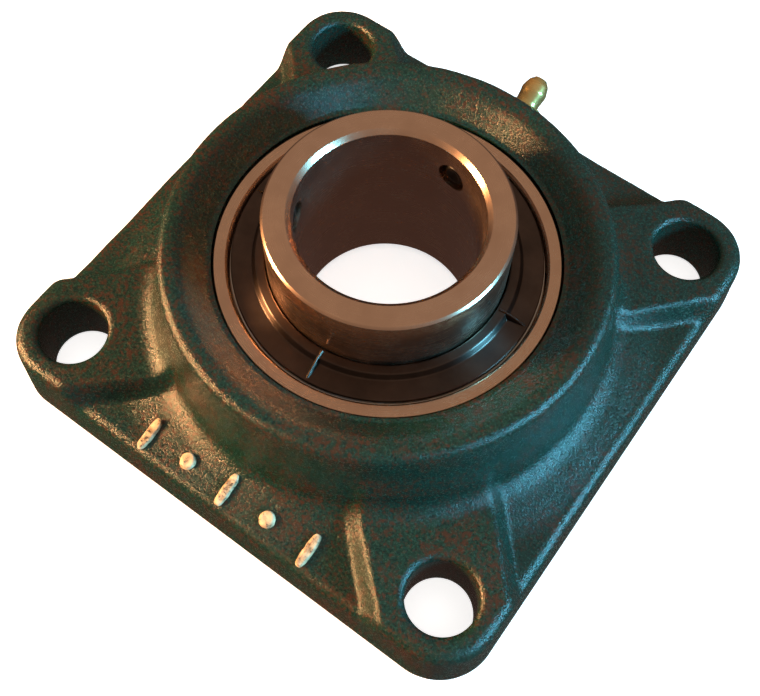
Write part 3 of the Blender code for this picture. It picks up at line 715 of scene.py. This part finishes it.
def makeHousing():
    h = housing
    columns = h["columns"]
    angles = np.arange(columns) * 2 * math.pi / columns
    rows = housingRows(angles)
    points = np.array([np.stack(row[:3], axis=1) for row in rows])
    points = roughened(points, np.array([row[3] for row in rows]))
    count = len(rows)
    i, j = np.meshgrid(np.arange(count), np.arange(columns), indexing="ij")
    nextI, nextJ = (i + 1) % count * columns, (j + 1) % columns
    here = i * columns
    faces = np.stack([here + j, nextI + j, nextI + nextJ, here + nextJ], axis=2)
    points, faces = points.reshape(-1, 3).tolist(), faces.reshape(-1, 4).tolist()
    skin = built("housing_casting", points, faces, casting)
    for hole in boltHoles:
        tool = drill("drill", h["holeRadius"], h["holeRim"], padTop)
        combined(skin, laidAlong(tool, (hole.x, hole.y, 0), upward))
    # the loading slots and the locking pin's slot, open to the rear
    r, half, below = h["slotRadius"], h["slotHalf"], -9
    corners = [(0, centreZ, 0), (r, centreZ, 0.3), (r, below, 0), (0, below, 0)]
    slotRound = spun("slot", corners, closed=False)
    slotWidth = block("slot_width", (-r - 5, -half, below - 3), (r + 5, half, centreZ + 2))
    combined(skin, combined(slotRound, slotWidth, "INTERSECT"))
    half, top = h["pinSlotHalf"], centreZ + h["pinSlotRise"]
    low, high = (-half, -h["pinSlotDepth"], below), (half, 6 - ringRadius, top)
    combined(skin, block("pin_slot", low, high))
    # the nipple's socket and the grease passage behind it
    wide, deep = h["socketRadius"], -h["socketDepth"]
    thin, end = h["passageRadius"], -h["passageDepth"]
    corners = [(0, 4, 0), (wide, 4, 0), (wide, deep, 0)]
    corners += [(thin, deep, 0), (thin, end, 0), (0, end, 0)]
    passage = spun("passage", corners, 64, closed=False)
    combined(skin, laidAlong(passage, nippleSeat, nippleAxis))
    return shaded(skin, 40)


# the nipple's sizes and seat come first, for its socket is cut in the housing

nipple = {
    "shank": 3.0,
    "shankLength": 5.5,
    "hexagon": 7.0,
    "hexagonHeight": 3.6,
    "neck": 2.65,
    "neckHeight": 2.3,
    "head": 3.2,
    "headHeight": 4.0,
    "mouth": 0.7,
    "bore": 1.3,
    "foot": 0.7,
    "footHeight": 1.0,
    "ballRadius": 1.0,
    "ballToTop": 1.85,
    "wire": 0.15,
    "coils": 4,
    "stepsPerCoil": 40,
    "wireSides": 12,
}
nippleAxis = -Vector(joint("nipple_ball_press")["axis"])
if nippleAxis.z < 0:
    nippleAxis = -nippleAxis
nippleHeight = nipple["hexagonHeight"] + nipple["neckHeight"] + nipple["headHeight"]
nippleSeat = middle("nipple_ball") - nippleAxis * (nippleHeight - nipple["ballToTop"])

shown(makeHousing(), "housing", "casting_paint", "housing")
print("housing made")


# foundry marks: a row of worn bars and dots

marks = {
    "count": 5,
    "pitch": 10.0,
    "inset": 5.6,
    "length": 7.0,
    "width": 2.0,
    "dot": 3.2,
    "raise": 0.9,
    "sunk": 0.08,
    "wobble": 0.10,
    "turns": 72,
}
markCrown = [
    (1.10, -0.5),
    (1.07, 0.05),
    (1.0, 0.35),
    (0.97, 0.62),
    (0.88, 0.82),
    (0.74, 0.90),
    (0.45, 0.93),
    (0.2, 0.94),
]


def makeMark(index):
    # a crowned pad on the slope, its outline a rounded rectangle
    m = marks
    x0 = (index - (m["count"] - 1) / 2) * m["pitch"]
    y0 = m["inset"] - flangeHalf
    if index % 2:
        halfX = halfY = m["dot"] / 2
        power = 2.0
    else:
        halfX, halfY = m["width"] / 2, m["length"] / 2
        power = 3.2
    turns, top = m["turns"], markCrown[-1][1]
    points = []
    for share, rise in markCrown:
        for k in range(turns):
            t = 2 * math.pi * k / turns
            cx, cy = math.cos(t), math.sin(t)
            x = x0 + math.copysign(abs(cx) ** (2 / power), cx) * halfX * share
            y = y0 + math.copysign(abs(cy) ** (2 / power), cy) * (halfY - halfX * (1 - share))
            wobble = m["wobble"] * noise.noise(Vector((x, y, rise)) * 0.9)
            lift = rise * m["raise"] / top + wobble * max(rise, 0) - m["sunk"]
            points.append((x + wobble, y, float(groundAt(x, y)) + lift))
    faces = skinned(len(markCrown), turns)
    return shaded(built(f"foundry_mark_{index + 1}", points, faces, marking), 50)


for index in range(marks["count"]):
    shown(makeMark(index), "housing", "casting_paint")


# rings

outerRing = {
    "chamfer": 0.45,
    "shoulder": 2.4,
    "grooveDepth": 0.9,
    "grooveWidth": 2.2,
    "holeRadius": 0.9,
    "holeAzimuths": (30, 210),
    "pinRadius": 1.6,
    "pinDepth": 2.2,
}
pinLow, pinHigh = box("locking_pin")


def makeOuterRing():
    o = outerRing
    bevel = o["chamfer"]
    shoulder = raceRadius - o["shoulder"]
    sealSeat = sealRim + gap
    step = sealStart - gap
    face = math.sqrt(ringRadius**2 - ringHalf**2)
    tilt = math.degrees(math.asin((ringHalf - bevel) / ringRadius))
    groove = step - 0.2 - o["holeRadius"]
    grooveTop, grooveBottom = groove - o["grooveWidth"] / 2, groove + o["grooveWidth"] / 2
    grooveRadius = ringRadius - o["grooveDepth"] - 0.4
    first = math.degrees(math.asin(grooveTop / ringRadius))
    second = math.degrees(math.asin(grooveBottom / ringRadius))
    race = math.degrees(math.acos((shoulder - pitchRadius) / raceArc))
    sealSide = [
        (sealSeat + bevel, ringHalf, 0.15),
        (sealSeat, ringHalf - bevel, 0.15),
        (sealSeat, step, 0.15),
        (shoulder, step, 0.3),
    ]
    corners = [(face - bevel * 0.7, ringHalf, 0.2)]
    corners += arc(0, 0, ringRadius, tilt, -first, 24)
    corners += [(grooveRadius, -grooveTop, 0.4), (grooveRadius, -grooveBottom, 0.4)]
    corners += arc(0, 0, ringRadius, -second, -tilt, 8)
    corners += [(face - bevel * 0.7, -ringHalf, 0.2)]
    corners += [(r, -z, f) for r, z, f in sealSide]
    corners += arc(pitchRadius, 0, raceArc, -race, race, 20)
    corners += sealSide[::-1]
    ring = spun("outer_race", corners, 256, material=ringSteel, lift=centreZ)
    for azimuth in o["holeAzimuths"]:
        start = outwards(azimuth) * (shoulder - 1) + upward * (centreZ - groove)
        bore = drill("bore", o["holeRadius"], 0.2, grooveRadius - shoulder + 1)
        combined(ring, laidAlong(bore, start, outwards(azimuth)))
    start = outwards(270) * (ringRadius - o["pinDepth"]) + upward * centreZ
    socket = drill("socket", o["pinRadius"], 0.15, o["pinDepth"] - 0.05)
    return combined(ring, laidAlong(socket, start, outwards(270)))


innerRing = {
    "wallBelowRace": 2.64,
    "chamfer": 0.5,
    "boreChamfer": 1.0,
}
screw = {
    "radius": 3.0,
    "hole": 3.12,
    "azimuths": (83, 203),
    "recess": 0.5,
    "socket": 3.0,
    "socketDepth": 2.4,
    "flareWide": 2.6,
    "flareThin": 1.3,
}
screwHeight = middle("set_screw_1").z
boreRadius = pitchRadius - raceArc - innerRing["wallBelowRace"]


def makeInnerRing():
    i = innerRing
    bevel, boreBevel = i["chamfer"], i["boreChamfer"]
    race = math.degrees(math.acos((pitchRadius - hubRadius) / raceArc))
    corners = [(hubRadius - bevel, hubFront, 0.25), (hubRadius, hubFront - bevel, 0.25)]
    corners += arc(pitchRadius, 0, raceArc, 180 - race, 180 + race, 20)
    corners += [
        (hubRadius, hubRear + bevel, 0.25),
        (hubRadius - bevel, hubRear, 0.25),
        (boreRadius + boreBevel, hubRear, 0.25),
        (boreRadius, hubRear + boreBevel, 0.35),
        (boreRadius, hubFront - boreBevel, 0.35),
        (boreRadius + boreBevel, hubFront, 0.25),
    ]
    ring = spun("inner_race", corners, 256, material=ringSteel, lift=centreZ)
    inside = 10  # each hole's cutter starts here, within the bore
    for azimuth in screw["azimuths"]:
        hole = drill("hole", screw["hole"], 0.25, hubRadius - inside)
        start = outwards(azimuth) * inside + upward * screwHeight
        combined(ring, laidAlong(hole, start, outwards(azimuth)))
    return ring


shown(makeOuterRing(), "outer_ring", "ring_steel", "outer_ring")
shown(makeInnerRing(), "inner_ring", "ring_steel", "inner_ring")
pinRadius = (pinHigh.x - pinLow.x) / 2
pinLength = pinHigh.y - pinLow.y
corners = [(0, pinLength, 0), (pinRadius, pinLength, 0.4), (pinRadius, 0, 0.3), (0, 0, 0)]
pin = spun("anti_rotation_pin", corners, 64, closed=False, material=ringSteel)
laidAlong(pin, (0, pinHigh.y, centreZ), outwards(270))
shown(pin, "locking_pin", "ring_steel", "locking_pin")
print("rings made")


# flingers, seals, cage and balls

flinger = {
    "thickness": 0.8,
    "collar": 1.9,
    "slope": 0.7,
    "fold": 0.45,
    "ribAzimuths": (6, 96, 186, 276),
    "ribStart": 0.5,
    "ribWidth": 0.75,
    "ribHeight": 1.7,
    "ribRoot": 0.25,
    "ribToEdge": 0.5,
}


def mirrored(corners):
    return [(r, -z, f) for r, z, f in reversed(corners)]


def flingerCorners():
    f = flinger
    thick, fold = f["thickness"], f["fold"]
    edge = radiusOf("front_flinger")
    low, top = offsets("front_flinger")
    hub = hubRadius + gap
    outer = hub + f["collar"]
    slope = outer + f["slope"]
    return [
        (outer, top, fold),
        (slope, low + thick, fold),
        (edge, low + thick, 0.35),
        (edge, low, 0.15),
        (slope - thick, low, fold),
        (outer - thick, top - thick, fold),
        (hub, top - thick, 0.2),
        (hub, top, 0.35),
    ]


def makeRib(azimuth, side):
    # a pressed gusset from the collar down to the disc's edge, its crest falling outwards
    f = flinger
    inner = hubRadius + gap + f["ribStart"]
    outer = radiusOf("front_flinger") - f["ribToEdge"]
    flat = offsets("front_flinger")[0] + f["thickness"]
    stations, steps, root = 32, 20, f["ribRoot"]
    away, aside = outwards(azimuth), outwards(azimuth + 90)
    points = []
    for i in range(stations + 1):
        t = 0.99 * i / stations
        wide = f["ribWidth"] * (1 - 0.6 * t) * math.sqrt(1 - max(0, (t - 0.85) / 0.15) ** 2)
        tall = f["ribHeight"] * (1 - t**1.6)
        section = [(-wide - root, -root)]
        for k in range(steps + 1):
            u = 2 * k / steps - 1
            section.append((wide * u, tall * (1 - u * u)))
        section.append((wide + root, -root))
        for y, z in section:
            at = away * (inner + (outer - inner) * t) + aside * y
            points.append(at + upward * (centreZ + side * (flat + z)))
    return built("rib", points, skinned(stations + 1, steps + 3))


seal = {
    "core": 0.5,
    "rim": 0.7,
    "lip": 0.6,
    "overlap": 3.0,
}


def coreCorners():
    inner = hubRadius + 2 * gap + seal["lip"]
    back = sealStart + seal["core"]
    rim = sealRim - seal["rim"]
    return [
        (sealRim, sealEnd, 0.15),
        (sealRim, sealStart, 0.3),
        (inner, sealStart, 0.1),
        (inner, back, 0.1),
        (rim, back, 0.25),
        (rim, sealEnd, 0.15),
    ]


def lipCorners():
    lip = hubRadius + gap
    outer = lip + seal["lip"] + seal["overlap"]
    back = sealStart + seal["core"] + gap
    return [
        (outer, sealEnd, 0.2),
        (outer, back, 0.1),
        (lip + seal["lip"], back, 0.2),
        (lip + seal["lip"] / 2, sealStart, 0.1),
        (lip, sealStart, 0.05),
        (lip, sealEnd, 0.25),
    ]


def makePair(name, node, corners, material, body, slot, ribs=()):
    # the same profile in front of the balls and behind them
    for side, profile, turn in (("front", corners, 1), ("rear", mirrored(corners), -1)):
        piece = spun(f"{side}_{name}", profile, 256, material=material, lift=centreZ)
        for azimuth in ribs:
            combined(piece, makeRib(azimuth, turn), "UNION")
        shown(piece, body, slot, f"{side}_{node}")


ribs = flinger["ribAzimuths"]
corners = flingerCorners()
makePair("flinger_disc", "flinger", corners, flingerSteel, "inner_ring", "black_steel", ribs)
makePair("seal_disc", "seal_core", coreCorners(), sheetSteel, "outer_ring", "sheet_steel")
makePair("seal_rubber_lip", "seal_lip", lipCorners(), rubber, "outer_ring", "seal_rubber")

cage = {
    "thickness": 0.8,
    "toInnerRing": 0.65,
    "rounding": 0.25,
    "blend": 0.35,
    "blendSink": 0.02,
    "stations": 52,
    "rivet": 0.75,
    "rivetHole": 0.8,
    "rivetHead": 1.3,
    "headHeight": 0.5,
}


def makeCageHalf(name, side):
    # a pressed ribbon that follows the balls, its section a rectangle with rounded edges
    thick = cage["thickness"] / 2
    wide = pitchRadius - hubRadius - cage["toInnerRing"]
    over = raceArc + thick
    flat = (cage["thickness"] + gap) / 2
    count = ballCount * cage["stations"]
    rounding = cage["rounding"]
    section = []
    for cornerX, cornerY, start in ((1, 1, 0), (-1, 1, 90), (-1, -1, 180), (1, -1, 270)):
        for k in range(4):
            t = math.radians(start + k * 30)
            across = cornerX * (wide - rounding) + rounding * math.cos(t)
            section.append((across, cornerY * (thick - rounding) + rounding * math.sin(t)))

    def height(along):
        # the ribbon's height at a distance along it from the nearest ball's middle
        dome = math.sqrt(max(over**2 - along**2, 0))
        rise = dome - flat
        return flat + (rise + math.hypot(rise, cage["blend"])) / 2 - cage["blendSink"]

    pitchLength = 2 * math.pi * pitchRadius / ballCount
    step = 0.02
    points = []
    for i in range(count):
        angle = 2 * math.pi * i / count
        along = (angle * pitchRadius + pitchLength / 2) % pitchLength - pitchLength / 2
        z = height(along)
        slope = (height(along + step) - height(along - step)) / (2 * step)
        length = math.hypot(slope, 1)
        for across, up in section:
            turn = angle - slope / length * up / pitchRadius
            r, level = pitchRadius + across, side * (z + up / length)
            points.append((r * math.cos(turn), r * math.sin(turn), centreZ + level))
    faces = skinned(count, len(section), ring=True)
    half = shaded(built(name, points, faces, sheetSteel), 50)
    radius = cage["rivetHole"]
    corners = [(0, 8, 0), (radius, 8, 0), (radius, -8, 0), (0, -8, 0)]
    for number in range(1, ballCount + 1):
        hole = spun("hole", corners, 32, closed=False)
        combined(half, laidAlong(hole, middle(f"cage_rivet_{number}"), upward))
    return half


shown(makeCageHalf("cage_front_ribbon", 1), "cage", "sheet_steel", "cage_front_half")
shown(makeCageHalf("cage_rear_ribbon", -1), "cage", "sheet_steel", "cage_rear_half")
grip = cage["thickness"] + gap / 2 + 0.1
head, top = cage["rivetHead"], grip + cage["headHeight"]
corners = [(0, top, 0), (head * 0.75, top, 0.35), (head, grip, 0.1), (cage["rivet"], grip, 0)]
corners += mirrored(corners)
for number in range(1, ballCount + 1):
    rivet = spun(f"rivet_{number}", corners, 40, closed=False, material=sheetSteel)
    laidAlong(rivet, middle(f"cage_rivet_{number}"), upward)
    shown(rivet, "cage", "sheet_steel", f"cage_rivet_{number}")


def makeBall(name, radius, place):
    corners = arc(0, 0, radius, 90, -90, 40)
    corners[0], corners[-1] = (0, radius, 0), (0, -radius, 0)
    ball = spun(name, corners, 80, closed=False, material=ballSteel)
    return laidAlong(ball, place, upward)


for number in range(1, ballCount + 1):
    ball = makeBall(f"rolling_ball_{number}", ballRadius, middle(f"ball_{number}"))
    shown(ball, f"ball_{number}", "ball_steel", f"ball_{number}")
print("insert made")


# set screws

def makeSetScrew(number, azimuth):
    tip = boreRadius + screw["recess"]
    length = hubRadius - gap - tip
    radius = screw["radius"]
    corners = [
        (0, length, 0),
        (radius - 0.5, length, 0.15),
        (radius, length - 0.5, 0.15),
        (radius, 1.0, 0.2),
        (radius - 1.1, 0, 0.15),
        (radius - 1.5, 0, 0.1),
        (0, 0.6, 0),
    ]
    body = spun(f"cup_screw_{number}", corners, 96, closed=False, material=blackSteel)
    key = prism("key", 6, screw["socket"], length - screw["socketDepth"], length + 1)
    combined(body, key)
    wide, thin = screw["flareWide"], screw["flareThin"]
    corners = [(0, length + 1, 0), (wide, length + 0.7, 0), (thin, length - 0.5, 0)]
    flare = spun("flare", corners + [(0, length - 0.5, 0)], 64, closed=False)
    combined(body, flare)
    return laidAlong(body, outwards(azimuth) * tip + upward * screwHeight, outwards(azimuth))


for number, azimuth in enumerate(screw["azimuths"], 1):
    node = f"set_screw_{number}"
    shown(makeSetScrew(number, azimuth), node, "black_steel", node)


# grease nipple, made along Z from its seat

def makeNipple():
    n = nipple
    top = nippleHeight
    headBase = top - n["headHeight"]
    footTop = n["footHeight"] - n["shankLength"]
    corners = [
        (n["mouth"], top, 0.15),
        (n["head"] * 0.40, top, 0.5),
        (n["head"] * 0.72, top - 1.1, 1.4),
        (n["head"] * 0.92, headBase + 0.9, 1.6),
        (n["head"] * 0.86, headBase - 0.5, 0.9),
        (n["neck"], headBase - 1.5, 0.6),
        (n["neck"], n["hexagonHeight"] - 0.4, 0.1),
        (n["shank"], n["hexagonHeight"] - 0.4, 0),
        (n["shank"], 0.4 - n["shankLength"], 0.15),
        (n["shank"] - 0.5, -n["shankLength"], 0.15),
        (n["foot"], -n["shankLength"], 0.1),
        (n["foot"], footTop, 0.1),
        (n["bore"], footTop, 0.1),
        (n["bore"], top - 0.7, 0.3),
        (n["mouth"], top - 0.35, 0.1),
    ]
    body = spun("nipple_body", corners, 96, material=brass)
    hexagon = prism("hexagon", 6, n["hexagon"], 0, n["hexagonHeight"])
    corner = n["hexagon"] / math.sqrt(3)
    corners = [
        (0, n["hexagonHeight"], 0),
        (corner - 0.7, n["hexagonHeight"], 0),
        (corner + 0.1, n["hexagonHeight"] - 0.5, 0),
        (corner + 0.1, 0.45, 0),
        (corner - 0.7, 0, 0),
        (0, 0, 0),
    ]
    combined(hexagon, spun("chamfers", corners, 96, closed=False), "INTERSECT")
    combined(hexagon, prism("clear", 64, 2 * (n["shank"] - 0.2), -5, 8))
    combined(body, hexagon, "UNION")
    return laidAlong(body, nippleSeat, nippleAxis)


springFoot = nipple["footHeight"] - nipple["shankLength"] + gap
springTop = nippleHeight - nipple["ballToTop"] - nipple["ballRadius"] - gap


def makeSpring():
    n = nipple
    radius = n["bore"] - gap - n["wire"]
    low, high = springFoot + n["wire"], springTop - n["wire"]
    count, sides = n["coils"] * n["stepsPerCoil"], n["wireSides"]
    points = []
    for i in range(count + 1):
        away = outwards(360 * i / n["stepsPerCoil"])
        level = low + (high - low) * i / count
        for k in range(sides):
            t = 2 * math.pi * k / sides
            at = away * (radius + n["wire"] * math.cos(t))
            points.append(at + upward * (level + n["wire"] * math.sin(t)))
    spring = built("check_spring", points, skinned(count + 1, sides), sheetSteel)
    return laidAlong(shaded(spring), nippleSeat, nippleAxis)


shown(makeNipple(), "housing", "nipple_brass", "grease_nipple")
checkSpring = makeSpring()
shown(checkSpring, "housing", "sheet_steel", "nipple_spring")
press = joint("nipple_ball_press")["range_m"][1] / mm
springAnchor = (nippleSeat + nippleAxis * springFoot) * mm
springKeep = 1 - press / (springTop - springFoot)
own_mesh(checkSpring)
checkBall = makeBall("check_ball", nipple["ballRadius"], middle("nipple_ball"))
shown(checkBall, "nipple_ball", "ball_steel", "nipple_ball")
print("screws and nipple made")


# stage, in metres

stageLook = {
    "floor": (0.86, 0.86, 0.86),
    "glow": 0.75,
    "floorSize": 6.0,
    "drop": 0.0003,
    "wallRadius": 2.9,
    "wallHeight": 4.0,
}
view = {
    "azimuth": 34.66,
    "elevation": 64.92,
    "roll": 1.57,
    "distance": 0.2137,
    "target": (0.0083, -0.0138, 0.020),
    "lens": 50.98,
}


def makeCamera():
    azimuth, elevation, roll = (math.radians(view[k]) for k in ("azimuth", "elevation", "roll"))
    aside = Vector((math.sin(azimuth), -math.cos(azimuth), 0))
    back = aside * math.cos(elevation) + upward * math.sin(elevation)
    right = upward.cross(back).normalized()
    up = back.cross(right)
    across = right * math.cos(roll) + up * math.sin(roll)
    over = up * math.cos(roll) - right * math.sin(roll)
    turn = Matrix((across, over, back)).transposed().to_4x4()
    camera = bpy.data.cameras.new("camera")
    camera.lens = view["lens"]
    camera.clip_start = 0.01
    obj = bpy.data.objects.new("camera", camera)
    obj.matrix_world = Matrix.Translation(Vector(view["target"]) + back * view["distance"]) @ turn
    bpy.context.scene.collection.objects.link(obj)
    bpy.context.scene.camera = obj


def makeFloor():
    paint = Paint("floorPaint", **{"Roughness": 0.9, "Emission Strength": stageLook["glow"]})
    paint.put("Base Color", stageLook["floor"])
    paint.put("Emission Color", (1, 1, 1))
    size, drop = stageLook["floorSize"], stageLook["drop"]
    bpy.ops.mesh.primitive_plane_add(size=size, location=(0, 0, -drop))
    floor = bpy.context.object
    floor.name = "floor"
    floor.data.materials.append(paint.material)
    floor.visible_glossy = False


def makeWall():
    # a white wall all round that only the camera sees, so that a low view has no horizon
    paint = Paint("wallPaint", **{"Emission Strength": 1.0, "Specular IOR Level": 0.0})
    paint.put("Base Color", (0, 0, 0))
    paint.put("Emission Color", (1, 1, 1))
    tall = stageLook["wallHeight"]
    bpy.ops.mesh.primitive_cylinder_add(
        vertices=96,
        radius=stageLook["wallRadius"],
        depth=tall,
        end_fill_type="NOTHING",
        location=(0, 0, tall / 2 - stageLook["drop"]),
    )
    wall = bpy.context.object
    wall.name = "wall"
    wall.data.materials.append(paint.material)
    wall.visible_diffuse = wall.visible_glossy = wall.visible_shadow = False
    wall.visible_transmission = False


lamps = {
    "warm": {
        "azimuth": 216,
        "elevation": 18,
        "colour": (1.0, 0.50, 0.20),
        "power": 15.0,
        "size": 0.12,
    },
    "cool": {
        "azimuth": 12,
        "elevation": 22,
        "colour": (0.16, 0.68, 1.0),
        "power": 9.0,
        "size": 0.14,
    },
}
lampDistance = 0.6
sunLook = {
    "direction": (0.05, 0.05, 1),
    "power": 0.9,
    "spread": 1.0,
}


def aimed(name, data, direction, distance):
    lamp = bpy.data.objects.new(name, data)
    lamp.location = direction * distance + upward * centreZ * mm
    lamp.rotation_euler = direction.to_track_quat("Z", "Y").to_euler()
    bpy.context.scene.collection.objects.link(lamp)
    lamp.visible_camera = False
    return lamp


def makeLamps():
    for name, look in lamps.items():
        data = bpy.data.lights.new(name, "AREA")
        data.color = look["colour"]
        data.energy = look["power"]
        data.size = look["size"]
        lift = math.radians(look["elevation"])
        direction = outwards(look["azimuth"]) * math.cos(lift) + upward * math.sin(lift)
        aimed(name, data, direction, lampDistance)
    data = bpy.data.lights.new("sun", "SUN")
    data.energy = sunLook["power"]
    data.angle = sunLook["spread"]
    sun = aimed("sun", data, Vector(sunLook["direction"]).normalized(), 1.0)
    sun.visible_glossy = False


room = {
    "low": (0.095, 0.056, 0.046),
    "high": (0.50, 0.34, 0.23),
    "fade": (-0.3, 0.7),
}


def makeWorld():
    # a brown room above, and darker towards the ground
    world = bpy.data.worlds.new("room")
    bpy.context.scene.world = world
    sky = Nodes(world)
    direction = sky.node("ShaderNodeTexCoord", output="Generated")
    height = sky.node("ShaderNodeSeparateXYZ", {}, {0: direction}, output=2)
    shade = sky.between(height, *room["fade"])
    background = sky.tree.nodes["Background"]
    sky.feed(background.inputs[0], sky.mix(shade, room["low"], room["high"]))


makeCamera()
makeFloor()
makeWall()
makeLamps()
makeWorld()
bpy.context.scene.view_settings.view_transform = "Standard"
print("stage made")
